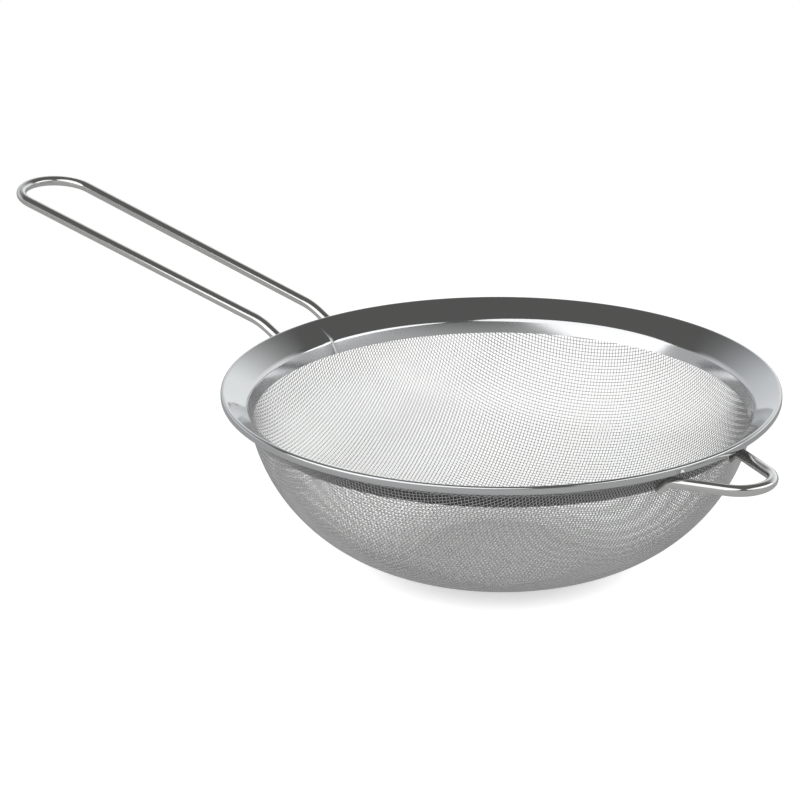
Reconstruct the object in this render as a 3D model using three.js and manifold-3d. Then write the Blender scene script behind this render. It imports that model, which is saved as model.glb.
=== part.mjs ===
// Kitchen sieve: a woven steel bowl in a flanged sheet hoop, with a long wire handle and a wire rest loop.
// Millimetres, +Z up. The origin is the middle of the flat that the bowl stands on.
// The handle runs out along -X and the rest loop along +X.
import * as THREE from "three";
import { mergeVertices } from "three/addons/utils/BufferGeometryUtils.js";
import Module from "manifold-3d";

const wasm = await Module();
wasm.setup();

const degrees = THREE.MathUtils.degToRad;

// Hoop: one strip of sheet with a rolled lip, a sloping flange and a skirt inside the cloth.
const RIM_RADIUS = 100; // axis to the outside of the lip
const RIM_HEIGHT = 65.7; // crest of the lip above the flat base
const SHEET = 0.6; // thickness of the strip
const LIP_ROLL = 0.8; // centre line radius where the flange turns over into the lip
const HEM_LENGTH = 1.3; // lip edge turned in under the edge of the cloth
const HEM_ROLL = 0.5; // centre line radius of that turn
const FLANGE_SLOPE = degrees(36); // fall of the flange towards the bowl
const FLANGE_WIDTH = 9.5; // outside of the lip to the corner between flange and skirt
const BEND_ROLL = 3.2; // centre line radius of that corner
const SKIRT_HEIGHT = 5; // height of the skirt under the corner
const SKIRT_LEAN = degrees(18); // lean of the skirt towards the axis

// Cloth: plain woven wire, drawn as a shell as thick as two crossing wires, with a coarse grid of openings.
const CLOTH = 0.54;
const CLOTH_BEND = 2.3; // centre line radius where the cloth turns out under the flange
const WALL_LEAN = degrees(10); // lean of the bowl's wall where it leaves the skirt
const BOWL_BASE_RADIUS = 130.6; // centre line radius of the bottom of the bowl
const BASE_FLAT = 30; // radius of the flat pressed into the bottom
const GRID_CELLS = 6; // between the axis and the skirt
const GRID_OPEN = 0.72; // side of an opening against the side of its cell
const GRID_TURN = 22; // degrees, direction of the weave against the handle
const GRID_EDGE = 2; // cloth left whole round the flat and under the skirt

// Wires: handle and rest loop, bent from the same wire and welded under the hoop.
const WIRE = 4; // diameter
const FOOT_SLOPE = degrees(48); // fall of the loop's feet towards the skirt
const FOOT_ROLL = 4; // centre line radius where the loop turns down into its feet
const PAD_DEPTH = 0.8; // flat that the weld presses into the end of a leg
const PAD_LENGTH = 5; // length of that flat
const HANDLE_REACH = 167; // outside of the lip to the far end of the handle
const HANDLE_NECK = 12.2; // outside of the lip to the bend where the handle levels out
const HANDLE_NECK_ROLL = 30; // centre line radius of that bend
const HANDLE_SLOPE = degrees(8.3); // climb of the long straight legs
const HANDLE_ROOT_WIDTH = 26.4; // between leg centres at the lip
const HANDLE_END_WIDTH = 30.6; // between leg centres where the end turns
const LOOP_REACH = 21.2; // outside of the lip to the tip of the loop
const LOOP_DROP = 1.5; // depth of the weld between the lip and the loop
const LOOP_TIP_ROLL = 12; // centre line radius of the tip
const LOOP_HALF_ANGLE = degrees(22.5); // each leg of the loop against the loop's axis

const GAP = 0.3; // clearance between pieces that touch

// Steps that round shapes are divided into.
const TURN_STEPS = 60; // round the hoop and the bowl
const CORNER_STEPS = 3;
const BOWL_STEPS = 5; // in each arc of the bowl's side
const WIRE_SIDES = 12;
const WIRE_BEND_STEPS = 5;
const HANDLE_END_STEPS = 14;
const LOOP_TIP_STEPS = 8;
const FOLD_STEPS = 40; // halvings that bring a corner of the grid onto the bowl

// Places that the pieces share, as (radius, height) pairs in a section through the axis.
const v2 = (radius, height) => new THREE.Vector2(radius, height);
const lipRadius = RIM_RADIUS - SHEET / 2;
const rollHeight = RIM_HEIGHT - SHEET / 2 - LIP_ROLL;
const flangeTop = rollHeight + (LIP_ROLL * (1 + Math.sin(FLANGE_SLOPE))) / Math.cos(FLANGE_SLOPE);
const flangeHeight = (radius) => flangeTop - (lipRadius - radius) * Math.tan(FLANGE_SLOPE);
const underFlange = (radius, depth) => flangeHeight(radius) - (SHEET / 2 + depth) / Math.cos(FLANGE_SLOPE);
const bendRadius = RIM_RADIUS - FLANGE_WIDTH;
const bend = v2(bendRadius, flangeHeight(bendRadius));
const skirtFoot = v2(bend.x - SKIRT_HEIGHT * Math.tan(SKIRT_LEAN), bend.y - SKIRT_HEIGHT);
const skirtOut = v2(Math.cos(SKIRT_LEAN), -Math.sin(SKIRT_LEAN));
const hemRadius = lipRadius - HEM_LENGTH;
const hemHeight = underFlange(hemRadius, GAP + CLOTH) - GAP - SHEET / 2;
const lipBottom = hemHeight - SHEET / 2;

// The cloth's centre line lies at one offset outside the skirt and under the flange.
const clothOffset = SHEET / 2 + GAP + CLOTH / 2;
const clothEdge = lipRadius - LIP_ROLL - GAP - clothOffset * Math.sin(FLANGE_SLOPE);
const clothMouth = skirtFoot.clone().addScaledVector(skirtOut, clothOffset);
const strip = [skirtFoot, bend, v2(clothEdge, flangeHeight(clothEdge))];
const wireOffset = clothOffset + CLOTH / 2 + GAP;
const half = WIRE / 2;

// Replaces each inner corner of an open line by an arc of its radius, where the radius isn't zero.
function roundCorners(corners, radii, steps) {
  const line = [corners[0]];
  for (let i = 1; i < corners.length - 1; i++) {
    const corner = corners[i];
    const back = corners[i - 1].clone().sub(corner).normalize();
    const ahead = corners[i + 1].clone().sub(corner).normalize();
    const half = back.angleTo(ahead) / 2;
    if (!radii[i]) {
      line.push(corner);
      continue;
    }
    const middle = back.clone().add(ahead).normalize();
    const centre = corner.clone().addScaledVector(middle, radii[i] / Math.sin(half));
    const start = corner.clone().addScaledVector(back, radii[i] / Math.tan(half));
    const spoke = start.clone().sub(centre);
    for (let k = 0; k <= steps; k++) {
      const turn = ((Math.PI - 2 * half) * k) / steps;
      const along = back.clone().multiplyScalar(-radii[i] * Math.sin(turn));
      line.push(centre.clone().addScaledVector(spoke, Math.cos(turn)).add(along));
    }
  }
  line.push(corners[corners.length - 1]);
  return line;
}

// Points of a line moved to its left by a distance. Sharp corners keep that distance from both their sides.
function offsetLine(line, distance, sharp) {
  const leftOf = (from, to) => v2(from.y - to.y, to.x - from.x).normalize();
  return line.map((point, i) => {
    const before = leftOf(line[Math.max(i - 1, 0)], line[Math.max(i, 1)]);
    const after = leftOf(line[Math.min(i, line.length - 2)], line[Math.min(i + 1, line.length - 1)]);
    const middle = before.clone().add(after).normalize();
    return point.clone().addScaledVector(middle, sharp ? distance / middle.dot(before) : distance);
  });
}

// A sheet of even thickness about a centre line, turned round the axis.
function turnedSheet(line, thickness, closed) {
  const outside = offsetLine(line, -thickness / 2, false);
  const inside = offsetLine(line, thickness / 2, false).reverse();
  const profile = [...outside, ...inside];
  if (closed) profile.push(outside[0].clone());
  return new THREE.LatheGeometry(profile, TURN_STEPS).rotateX(Math.PI / 2);
}

function arcPoints(centre, radius, from, to, steps) {
  const points = [];
  for (let k = 0; k <= steps; k++) {
    const angle = from + ((to - from) * k) / steps;
    points.push(v2(centre.x + radius * Math.sin(angle), centre.y - radius * Math.cos(angle)));
  }
  return points;
}

// A wire's centre line as stations, one ring of the wire at each, close together only in the bends.
class WireLine extends THREE.Curve {
  constructor(stations) {
    super();
    this.stations = stations;
  }

  getPoint(t, target = new THREE.Vector3()) {
    const place = t * (this.stations.length - 1);
    const i = Math.min(Math.floor(place), this.stations.length - 2);
    return target.lerpVectors(this.stations[i], this.stations[i + 1], place - i);
  }

  getUtoTmapping(u) {
    return u;
  }
}

function bentWire(stations) {
  const ring = [];
  for (let k = 0; k < WIRE_SIDES; k++) {
    const angle = (2 * Math.PI * k) / WIRE_SIDES;
    ring.push(v2((WIRE / 2) * Math.cos(angle), (WIRE / 2) * Math.sin(angle)));
  }
  return new THREE.ExtrudeGeometry(new THREE.Shape(ring), {
    steps: stations.length - 1,
    extrudePath: new WireLine(stations),
  });
}

function solidOf(geometry) {
  const bare = geometry.index ? geometry.toNonIndexed() : geometry.clone();
  bare.deleteAttribute("normal");
  bare.deleteAttribute("uv");
  const merged = mergeVertices(bare, 1e-4);
  const vertProperties = merged.attributes.position.array;
  const triVerts = new Uint32Array(merged.index.array);
  return new wasm.Manifold(new wasm.Mesh({ numProp: 3, vertProperties, triVerts }));
}

function geometryOf(solid) {
  const mesh = solid.getMesh();
  const geometry = new THREE.BufferGeometry();
  geometry.setAttribute("position", new THREE.BufferAttribute(mesh.vertProperties, 3));
  geometry.setIndex(new THREE.BufferAttribute(mesh.triVerts, 1));
  geometry.computeVertexNormals();
  return geometry;
}

function heightOn(line, radius) {
  const found = line.findIndex((point) => point.x > radius);
  const [from, to] = found < 0 ? line.slice(-2) : line.slice(found - 1, found + 1);
  return THREE.MathUtils.mapLinear(radius, from.x, to.x, from.y, to.y);
}

// Last corner of a cell with four even sides, swung about its two neighbours until it lies on the bowl.
function swungCorner(line, side, first, one, two) {
  const middle = one.clone().lerp(two, 0.5);
  const ahead = middle.clone().sub(first).normalize();
  const up = ahead.clone().cross(two.clone().sub(one)).normalize();
  const reach = Math.sqrt(side ** 2 - one.distanceToSquared(two) / 4);
  const corner = new THREE.Vector3();
  let below = -Math.PI / 2;
  let above = Math.PI / 2;
  for (let k = 0; k < FOLD_STEPS; k++) {
    const swing = (below + above) / 2;
    corner.copy(middle).addScaledVector(ahead, reach * Math.cos(swing));
    corner.addScaledVector(up, reach * Math.sin(swing));
    if (corner.z < heightOn(line, Math.hypot(corner.x, corner.y))) below = swing;
    else above = swing;
  }
  return corner;
}

// Corners of the grid in a quarter of the bowl. Woven cloth shears when it is pressed, so its sides stay even.
function gridCorners(line, side) {
  const path = new THREE.Path(line);
  const rows = [];
  for (let i = 0; i <= GRID_CELLS; i++) {
    const along = path.getPoint((i * side) / path.getLength());
    rows.push([new THREE.Vector3(along.x, 0, along.y)]);
    for (let j = 1; j <= GRID_CELLS; j++) {
      const across = path.getPoint((j * side) / path.getLength());
      const [row, before] = [rows[i], rows[i - 1]];
      if (i === 0) row.push(new THREE.Vector3(0, across.x, across.y));
      else row.push(swungCorner(line, side, before[j - 1], row[j - 1], before[j]));
    }
  }
  return rows;
}

// Prism that opens one cell of the grid right through the cloth.
function cellCut(cell, depth) {
  const middle = new THREE.Vector3();
  for (const corner of cell) middle.addScaledVector(corner, 1 / cell.length);
  const across = cell[2].clone().sub(cell[0]);
  const through = cell[3].clone().sub(cell[1]).cross(across).setLength(depth);
  const ends = [];
  for (const corner of cell) {
    const inner = middle.clone().lerp(corner, GRID_OPEN);
    ends.push(inner.clone().add(through).toArray(), inner.clone().sub(through).toArray());
  }
  return wasm.Manifold.hull(ends);
}

// All openings of the grid, kept clear of the flat and the skirt.
function gridCut(line, bowlLine) {
  const side = new THREE.Path(bowlLine).getLength() / GRID_CELLS;
  const rows = gridCorners(line, side);
  const top = clothMouth.y - GRID_EDGE;
  const cuts = [];
  for (let i = 0; i < GRID_CELLS; i++) {
    for (let j = 0; j < GRID_CELLS; j++) {
      const cell = [rows[i][j], rows[i + 1][j], rows[i + 1][j + 1], rows[i][j + 1]];
      if (rows[i][j].z < top) cuts.push(cellCut(cell, side / 4));
    }
  }
  const quarter = wasm.Manifold.union(cuts);
  const quarters = [0, 90, 180, 270].map((turn) => quarter.rotate([0, 0, turn + GRID_TURN]));
  const flat = wasm.Manifold.cylinder(side, BASE_FLAT + GRID_EDGE, BASE_FLAT + GRID_EDGE, TURN_STEPS, true);
  return wasm.Manifold.union(quarters).subtract(flat).trimByPlane([0, 0, -1], -top);
}

// Sections of the legs' roots use the directions square to a slope and inwards along it.
const upOf = (slope) => v2(-Math.sin(slope), Math.cos(slope));
const inOf = (slope) => v2(-Math.cos(slope), -Math.sin(slope));

// The handle's legs run straight in under the lip and end in the angle between flange and skirt.
function handleRoot() {
  const lip = v2(RIM_RADIUS, lipBottom);
  const nook = offsetLine(strip, -wireOffset, true)[1];
  const span = lip.clone().sub(nook);
  const slope = span.angle() - Math.asin(GAP / span.length());
  const underLip = lip.addScaledVector(upOf(slope), -(half + GAP));
  const end = nook.addScaledVector(upOf(slope), -half);
  return { slope, underLip, end };
}

// The loop's level legs clear the lip by the weld, turn down under the flange and end against the skirt.
function loopRoot() {
  const underLip = v2(RIM_RADIUS, lipBottom - LOOP_DROP - GAP - half);
  const foot = upOf(FOOT_SLOPE);
  const level = upOf(0);
  const mitre = level.clone().add(foot).multiplyScalar(half / (1 + level.dot(foot)));
  const face = offsetLine(strip, -wireOffset, true);
  const rise = underLip.clone().add(mitre).sub(face[1]).dot(upOf(FLANGE_SLOPE));
  const corner = underLip.clone().addScaledVector(inOf(0), -rise / inOf(0).dot(upOf(FLANGE_SLOPE)));
  const room = corner.clone().addScaledVector(foot, half).sub(face[0]).dot(skirtOut);
  const end = corner.clone().addScaledVector(inOf(FOOT_SLOPE), -room / inOf(FOOT_SLOPE).dot(skirtOut));
  return { underLip, corner, end };
}

// Point where a leg's plan line, which starts at a place and heads for the axis, reaches a radius.
function alongLeg(start, heading, place) {
  const along = start.dot(heading);
  const away = start.lengthSq() - place.x * place.x;
  const reach = -along - Math.sqrt(along * along - away);
  const plan = start.clone().addScaledVector(heading, reach);
  return new THREE.Vector3(plan.x, plan.y, place.y);
}

// Box that is cut from a leg's end to leave the flat that the weld pressed into its straight part.
function padCut(roll, end, corner, leg) {
  const along = end.clone().sub(corner);
  const turn = Math.PI - along.angleTo(leg.clone().sub(corner));
  const straight = along.length() - roll * Math.tan(turn / 2);
  along.normalize();
  const side = new THREE.Vector3().crossVectors(along, new THREE.Vector3(0, 0, 1)).normalize();
  const outward = new THREE.Vector3().crossVectors(along, side);
  const box = new THREE.BoxGeometry(2 * Math.min(PAD_LENGTH, straight), 2 * WIRE, WIRE);
  const place = end.clone().addScaledVector(outward, WIRE - PAD_DEPTH);
  const stance = new THREE.Matrix4().makeBasis(along, side, outward).setPosition(place);
  return solidOf(box.applyMatrix4(stance));
}

const mirrored = (points) => points.map((p) => new THREE.Vector3(p.x, -p.y, p.z)).reverse();

// Joins one leg, the turn at the far end and the mirrored leg, and presses the pads into the ends.
function weldedWire(leg, turn, roll, root) {
  const wire = bentWire([...leg, ...turn, ...mirrored(leg)]);
  const flip = new THREE.Vector3(1, -1, 1);
  let solid = solidOf(wire);
  for (const side of [root, root.map((p) => p.clone().multiply(flip))]) {
    solid = solid.subtract(padCut(roll, ...side));
  }
  return geometryOf(solid);
}

function rimHoop() {
  const corners = [
    skirtFoot,
    bend,
    v2(lipRadius, flangeTop),
    v2(lipRadius, hemHeight),
    v2(hemRadius, hemHeight),
  ];
  const radii = [0, BEND_ROLL, LIP_ROLL, HEM_ROLL, 0];
  return turnedSheet(roundCorners(corners, radii, CORNER_STEPS), SHEET, true);
}

// The side of the bowl is the arc that leaves the mouth along the wall and runs smoothly into the bottom.
function meshBowl() {
  const press = BOWL_BASE_RADIUS - Math.sqrt(BOWL_BASE_RADIUS ** 2 - BASE_FLAT ** 2);
  const baseCentre = v2(0, CLOTH / 2 - press + BOWL_BASE_RADIUS);
  const wallOut = v2(Math.cos(WALL_LEAN), -Math.sin(WALL_LEAN));
  const mouth = clothMouth.clone().sub(baseCentre);
  const spare = BOWL_BASE_RADIUS ** 2 - mouth.lengthSq();
  const sideRadius = spare / (2 * (BOWL_BASE_RADIUS - mouth.dot(wallOut)));
  const sideCentre = clothMouth.clone().addScaledVector(wallOut, -sideRadius);
  const flat = Math.asin(BASE_FLAT / BOWL_BASE_RADIUS);
  const meeting = Math.atan2(sideCentre.x, baseCentre.y - sideCentre.y);
  const base = arcPoints(baseCentre, BOWL_BASE_RADIUS, flat, meeting, BOWL_STEPS);
  const side = arcPoints(sideCentre, sideRadius, meeting, Math.PI / 2 - WALL_LEAN, BOWL_STEPS);
  const collar = offsetLine(strip, -clothOffset, true);
  const turnedOut = roundCorners(collar, [0, CLOTH_BEND, 0], CORNER_STEPS);
  const bowlLine = [v2(0, CLOTH / 2), ...base, ...side.slice(1)];
  const line = [...bowlLine, ...turnedOut.slice(1)];
  return geometryOf(solidOf(turnedSheet(line, CLOTH, false)).subtract(gridCut(line, bowlLine)));
}

function handle() {
  const endTurn = HANDLE_END_WIDTH / 2;
  const endCentre = RIM_RADIUS + HANDLE_REACH - WIRE / 2 - endTurn * Math.cos(HANDLE_SLOPE);
  const root = handleRoot();
  const neck = RIM_RADIUS + HANDLE_NECK;
  const neckHeight = root.underLip.y + (neck - root.underLip.x) * Math.tan(root.slope);
  const heightAt = (x) => neckHeight + (-x - neck) * Math.tan(HANDLE_SLOPE);
  const start = v2(-endCentre, endTurn);
  const heading = v2(-RIM_RADIUS, HANDLE_ROOT_WIDTH / 2).sub(start).normalize();
  const widthAt = (x) => start.y + ((x - start.x) * heading.y) / heading.x;
  const corners = [
    alongLeg(start, heading, root.end),
    new THREE.Vector3(-neck, widthAt(-neck), neckHeight),
    new THREE.Vector3(start.x, start.y, heightAt(start.x)),
  ];
  const leg = roundCorners(corners, [0, HANDLE_NECK_ROLL, 0], WIRE_BEND_STEPS);
  const turn = [];
  for (let k = 1; k < HANDLE_END_STEPS; k++) {
    const angle = (Math.PI * k) / HANDLE_END_STEPS;
    const x = -endCentre - endTurn * Math.cos(HANDLE_SLOPE) * Math.sin(angle);
    turn.push(new THREE.Vector3(x, endTurn * Math.cos(angle), heightAt(x)));
  }
  return weldedWire(leg, turn, HANDLE_NECK_ROLL, corners);
}

function restLoop() {
  const tipCentre = RIM_RADIUS + LOOP_REACH - WIRE / 2 - LOOP_TIP_ROLL;
  const root = loopRoot();
  const level = root.underLip.y;
  const tangent = Math.PI / 2 - LOOP_HALF_ANGLE;
  const start = v2(tipCentre + LOOP_TIP_ROLL * Math.cos(tangent), LOOP_TIP_ROLL * Math.sin(tangent));
  const heading = v2(-Math.cos(LOOP_HALF_ANGLE), Math.sin(LOOP_HALF_ANGLE));
  const corners = [
    alongLeg(start, heading, root.end),
    alongLeg(start, heading, root.corner),
    new THREE.Vector3(start.x, start.y, level),
  ];
  const leg = roundCorners(corners, [0, FOOT_ROLL, 0], WIRE_BEND_STEPS);
  const turn = [];
  for (let k = 1; k < LOOP_TIP_STEPS; k++) {
    const angle = tangent - (2 * tangent * k) / LOOP_TIP_STEPS;
    const x = tipCentre + LOOP_TIP_ROLL * Math.cos(angle);
    turn.push(new THREE.Vector3(x, LOOP_TIP_ROLL * Math.sin(angle), level));
  }
  return weldedWire(leg, turn, FOOT_ROLL, corners);
}

const sheetSteel = new THREE.MeshStandardMaterial({ color: 0xb9bdbe, roughness: 0.22, metalness: 1 });
const clothSteel = new THREE.MeshStandardMaterial({ color: 0xc9cbcb, roughness: 0.35, metalness: 1 });
const wireSteel = new THREE.MeshStandardMaterial({ color: 0xc2c4c3, roughness: 0.14, metalness: 1 });

const sieve = new THREE.Group();
const pieces = [
  ["rim_hoop", rimHoop(), sheetSteel],
  ["mesh_bowl", meshBowl(), clothSteel],
  ["handle", handle(), wireSteel],
  ["rest_loop", restLoop(), wireSteel],
];
for (const [name, geometry, material] of pieces) {
  const piece = new THREE.Mesh(geometry, material.clone());
  piece.name = name;
  sieve.add(piece);
}

export default sieve;
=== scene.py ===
"""Kitchen sieve: a woven wire bowl in a flanged sheet hoop, with a bent wire handle and a wire rest loop.

Lengths are metres and +Z is up. The origin is the middle of the flat that the bowl stands on.
The handle runs out along -X and the rest loop along +X.
"""
import math

import bpy
import numpy as np
from mathutils import Matrix, Quaternion, Vector


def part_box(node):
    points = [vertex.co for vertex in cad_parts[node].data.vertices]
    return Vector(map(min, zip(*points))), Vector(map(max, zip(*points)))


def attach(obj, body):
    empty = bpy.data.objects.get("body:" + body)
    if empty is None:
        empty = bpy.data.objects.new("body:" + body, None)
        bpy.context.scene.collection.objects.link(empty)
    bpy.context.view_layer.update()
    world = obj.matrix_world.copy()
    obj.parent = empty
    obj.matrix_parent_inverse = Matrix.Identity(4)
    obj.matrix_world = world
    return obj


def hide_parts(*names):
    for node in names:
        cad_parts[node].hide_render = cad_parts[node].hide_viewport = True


bl_info = {
    "name": "Kitchen Sieve",
    "version": (1, 0, 0),
    "blender": (4, 5, 0),
    "location": "3D View > Sidebar > Sieve",
    "description": "Models a wire sieve with a flanged rim, a wire handle and a rest loop, and its stage",
    "category": "Object",
}

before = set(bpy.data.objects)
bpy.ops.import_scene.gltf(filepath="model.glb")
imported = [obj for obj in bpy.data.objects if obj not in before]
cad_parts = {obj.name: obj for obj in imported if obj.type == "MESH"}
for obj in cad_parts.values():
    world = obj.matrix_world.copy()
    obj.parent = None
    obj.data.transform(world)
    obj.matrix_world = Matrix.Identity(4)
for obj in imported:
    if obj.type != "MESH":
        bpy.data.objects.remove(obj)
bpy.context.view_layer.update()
HOOP_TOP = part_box("rim_hoop")[1]
HANDLE_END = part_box("handle")[0]
LOOP_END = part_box("rest_loop")[1]

MM = 0.001
BODY = "root"

HOOP_STEPS = 288  # round the hoop
ROLL_STEPS = 8  # in each bend of the sheet
FLANGE_SPLIT = 0.55  # share of the way from the bend to the lip at which the flange has a ring of edges
SHEET_SMOOTH = math.radians(40)  # between faces of the sheet that are shaded as one
WIRE_SIDES = 32
WIRE_BEND_STEPS = 10
WIRE_TURN_STEPS = 28  # in half of a wire's far turn
WIRE_END_ROUND = 0.25  # share of a wire's radius that rounds the edge of its end
WIRE_SMOOTH = math.radians(35)  # between faces of a wire that are shaded as one
WELD_SHARE = 0.7  # share of a pad's length that the weld dulls
MERGE_REACH = 1e-7  # distance up to which doubles are merged
MIRROR_REACH = 1e-6  # distance from the mirror at which both halves are joined
CLOTH_PIECES = 3  # groups that the wires of each direction are shared out into
PROFILE_STEP = 0.05 * MM  # between points of the cloth's section
SOLVE_ROUNDS = 10  # rounds in which a crossing of the cloth settles

NOISE_RANGE = (0.3, 0.7)  # values of the polish noise that give the least and the most roughness
GRAIN_RELIEF = 0.1  # height of the grain against that of the waves
HAZE_SHADE = 0.86  # brightness of the darkest haze against the lightest
BUMP_HEIGHT = 0.2 * MM
SKIRT_MATT = 0.06  # roughness that the skirt has over that of the flange
SKIRT_FADE = (-1.0 * MM, 0.3 * MM)  # heights against the bend's corner between which that fades out

WHITE = (1.0, 1.0, 1.0, 1.0)
FRAME_PIXELS = 800  # width and height of the picture that the camera frames
SENSOR = 36.0  # width of the camera's sensor in millimetres
FLOOR_SIZE = 12.0
FLOOR_GLOW = 0.87  # light that the floor adds for the camera
FLOOR_FADE = (0.25, 0.5)  # distances from the axis between which the floor turns white for the camera
METAL_GLOW = 0.12  # light that the floor adds in reflections
SHADE_REACH = 0.0075  # height over the floor up to which things darken it
SHADE_SAMPLES = 16
ROOM_EDGE = (-0.55, -0.15)  # how far a direction points at the camera where the backdrop ends
LEFT_EDGE = (-0.35, 0.15)  # how far a direction points right where the backdrop's left side ends
CEILING_START = 0.25  # climb of a direction where the walls begin to turn into the ceiling
CEILING_END = (0.74, 0.38)  # climb where that ends, over the backdrop and over the room
SOFTBOX_TIP = math.radians(20)


# Settings

def length(name, description, millimetres):
    return bpy.props.FloatProperty(
        name=name, description=description, default=millimetres * MM, precision=5, unit="LENGTH"
    )


def angle(name, description, degrees):
    return bpy.props.FloatProperty(
        name=name, description=description, default=math.radians(degrees), subtype="ANGLE", unit="ROTATION"
    )


def colour(name, description, rgb):
    return bpy.props.FloatVectorProperty(
        name=name, description=description, default=rgb, size=3, min=0.0, max=1.0, subtype="COLOR"
    )


def amount(name, description, value):
    return bpy.props.FloatProperty(name=name, description=description, default=value)


class SieveHoop(bpy.types.PropertyGroup):
    """Sizes of the sheet hoop."""

    radius: length("Radius", "Axis to the outside of the lip", HOOP_TOP[0] / MM)
    height: length("Height", "Crest of the lip above the base", HOOP_TOP[2] / MM)
    sheet: length("Sheet", "Thickness of the strip", 0.6)
    lip_roll: length("Lip roll", "Centre line radius where the flange turns into the lip", 0.8)
    hem_length: length("Hem", "Lip edge turned in under the edge of the cloth", 1.3)
    hem_roll: length("Hem roll", "Centre line radius of the hem's turn", 0.5)
    flange_slope: angle("Flange slope", "Fall of the flange towards the bowl", 36)
    flange_width: length("Flange width", "Outside of the lip to the corner above the skirt", 9.5)
    bend_roll: length("Bend roll", "Centre line radius of the corner above the skirt", 3.2)
    skirt_height: length("Skirt", "Height of the skirt under its corner", 5)
    skirt_lean: angle("Skirt lean", "Lean of the skirt towards the axis", 18)
    seam_angle: angle("Seam", "Place of the strip's butt seam round the hoop", 178.75)
    seam_width: length("Seam width", "Width of the butt seam", 0.3)
    notch_depth: length("Notch depth", "Depth of the seam where it crosses the bend", 0.55)
    notch_reach: length("Notch reach", "Stretch that the notch draws in with it", 2.5)
    steel: colour("Steel", "Colour of the polished sheet", (0.72, 0.73, 0.74))
    # painted shade: the back's dark colour stands in for the shade behind the cloth and under the flange
    back: colour("Back", "Colour of the strip's dull back, against the cloth", (0.16, 0.16, 0.16))


class SieveCloth(bpy.types.PropertyGroup):
    """Sizes of the woven bowl."""

    thickness: length("Thickness", "Two crossing wires", 0.54)
    pitch: length("Pitch", "From one wire to the next", 1.27)
    crimp: amount("Crimp", "Share of the waves that the weft takes, the warp taking the rest", 0.5)
    turn: angle("Turn", "Direction of the weave against the handle", 22)
    wall_lean: angle("Wall lean", "Lean of the wall where it leaves the skirt", 10)
    base_radius: length("Base radius", "Centre line radius of the bottom", 130.6)
    base_flat: length("Base flat", "Radius of the flat pressed into the bottom", 30)
    steel: colour("Steel", "Colour of the drawn wire", (0.74, 0.74, 0.74))


class SieveWire(bpy.types.PropertyGroup):
    """Sizes of the handle and the rest loop."""

    diameter: length("Diameter", "Thickness of the wire", 4)
    gap: length("Gap", "Clearance to the pieces that the wire is welded to", 0.3)
    pad_depth: length("Pad depth", "Flat that the weld presses into the end of a leg", 0.8)
    pad_length: length("Pad length", "Length of that flat", 5)
    handle_end: length("Handle end", "Axis to the far end of the handle", -HANDLE_END[0] / MM)
    handle_neck: length("Neck", "Outside of the lip to the bend where the handle levels out", 12.2)
    neck_roll: length("Neck roll", "Centre line radius of that bend", 30)
    handle_slope: angle("Handle slope", "Climb of the long straight legs", 8.3)
    root_width: length("Root width", "Between the handle's leg centres at the lip", 26.4)
    end_width: length("End width", "Between the handle's leg centres where the end turns", 30.6)
    loop_end: length("Loop end", "Axis to the tip of the rest loop", LOOP_END[0] / MM)
    loop_drop: length("Loop drop", "Depth of the weld between the lip and the loop", 1.5)
    tip_roll: length("Tip roll", "Centre line radius of the loop's tip", 12)
    half_angle: angle("Half angle", "Each leg of the loop against the loop's axis", 22.5)
    foot_slope: angle("Foot slope", "Fall of the loop's feet towards the skirt", 48)
    foot_roll: length("Foot roll", "Centre line radius where the loop turns into its feet", 4)
    steel: colour("Steel", "Colour of the polished wire", (0.8, 0.8, 0.79))
    weld: colour("Weld", "Colour of the feet that the weld dulls", (0.66, 0.66, 0.63))


class SieveStage(bpy.types.PropertyGroup):
    """Camera, lamps and floor."""

    azimuth: angle("Azimuth", "Camera's turn round the sieve", 45.0)
    elevation: angle("Elevation", "Camera's height over the rim", 20.2)
    roll: angle("Roll", "Camera's turn about its own line of sight", -0.44)
    distance: length("Distance", "Camera to the middle of the rim", 1000)
    focal_pixels: amount("Focal length", "Focal length in pixels of the picture", 2798.0)
    rim_across: amount("Rim across", "Pixel column of the rim's middle", 500.5)
    rim_down: amount("Rim down", "Pixel row of the rim's middle", 383.2)
    floor: colour("Floor", "Colour of the floor", (0.6, 0.6, 0.6))
    ceiling: colour("Ceiling", "Colour of the studio overhead", (0.125, 0.125, 0.12))
    backdrop: colour("Backdrop", "Colour of the studio behind the sieve", (0.98, 1.0, 1.0))
    backdrop_left: colour("Backdrop left", "Colour of the backdrop's left side", (0.69, 0.71, 0.73))
    room: colour("Room", "Colour of the studio behind the camera", (0.52, 0.52, 0.52))


class SieveSettings(bpy.types.PropertyGroup):
    """All the settings of the sieve."""

    hoop: bpy.props.PointerProperty(name="Hoop", description="Sheet hoop", type=SieveHoop)
    cloth: bpy.props.PointerProperty(name="Cloth", description="Woven bowl", type=SieveCloth)
    wire: bpy.props.PointerProperty(name="Wire", description="Handle and loop", type=SieveWire)
    stage: bpy.props.PointerProperty(name="Stage", description="Camera and lamps", type=SieveStage)


# Places that the pieces share

def up_of(slope):
    """Direction square to a slope that climbs outwards, in a section."""
    return Vector((-math.sin(slope), math.cos(slope)))


def in_of(slope):
    """Direction inwards and down a slope, in a section."""
    return Vector((-math.cos(slope), -math.sin(slope)))


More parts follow.
